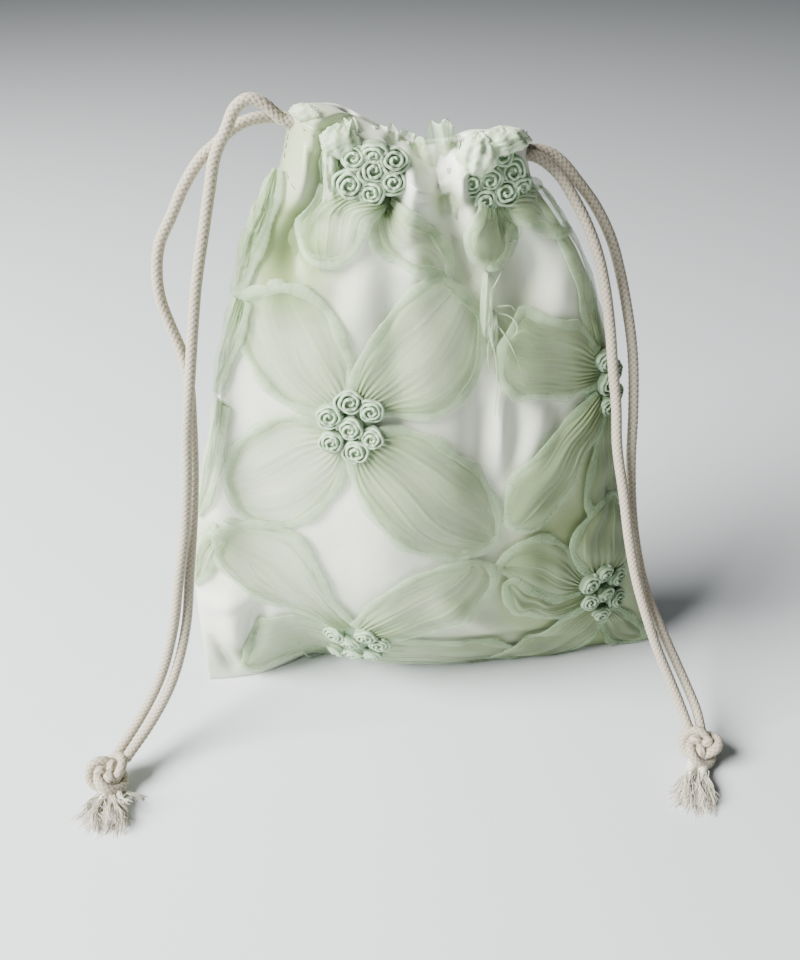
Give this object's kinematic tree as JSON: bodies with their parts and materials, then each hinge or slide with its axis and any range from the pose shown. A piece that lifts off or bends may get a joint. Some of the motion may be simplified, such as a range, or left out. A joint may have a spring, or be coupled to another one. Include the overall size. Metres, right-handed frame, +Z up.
{
  "type": "pouch bag",
  "caption": "Standing drawstring pouch bag of ivory satin with pale green organza flowers over the front, a gathered casing and knotted cotton drawcords.",
  "frame": {"origin": "centre of the bag's footprint, on the surface that it stands on", "axes": "+X along the bottom seam to the right seen from the front, +Y towards the back, +Z up"},
  "size_m": [0.2489, 0.1333, 0.2426],
  "materials": {
    "satin": "satin",
    "petal_organza": "sheer, soft",
    "rosette_organza": "matte",
    "cotton_cord": "matte, braided"
  },
  "bodies": {
    "root": {"pouch_body": "satin", "rosettes_a": "rosette_organza", "rosettes_b": "rosette_organza", "rosettes_c": "rosette_organza", "rosettes_d": "rosette_organza", "rosettes_e": "rosette_organza", "rosettes_f": "rosette_organza", "petal_a1": "petal_organza", "petal_a2": "petal_organza", "petal_a3": "petal_organza", "petal_a4": "petal_organza", "petal_b1": "petal_organza", "petal_b2": "petal_organza", "petal_b3": "petal_organza", "petal_b4": "petal_organza", "petal_c1": "petal_organza", "petal_c2": "petal_organza", "petal_c3": "petal_organza", "petal_c4": "petal_organza", "petal_d1": "petal_organza", "petal_d2": "petal_organza", "petal_d3": "petal_organza", "petal_d4": "petal_organza", "petal_e1": "petal_organza", "petal_e2": "petal_organza", "petal_f1": "petal_organza", "petal_f2": "petal_organza", "mouth_frill_left": "petal_organza", "mouth_frill_middle": "petal_organza", "shoulder_petal": "petal_organza", "drawcord_left_hidden": "cotton_cord", "drawcord_right_hidden": "cotton_cord", "cord_left_front": "cotton_cord", "cord_left_back": "cotton_cord", "cord_right_outer": "cotton_cord", "cord_right_inner": "cotton_cord", "knot_left": "cotton_cord", "knot_right": "cotton_cord", "frayed_end_left": "cotton_cord", "frayed_end_right": "cotton_cord"}
  },
  "joints": []
}
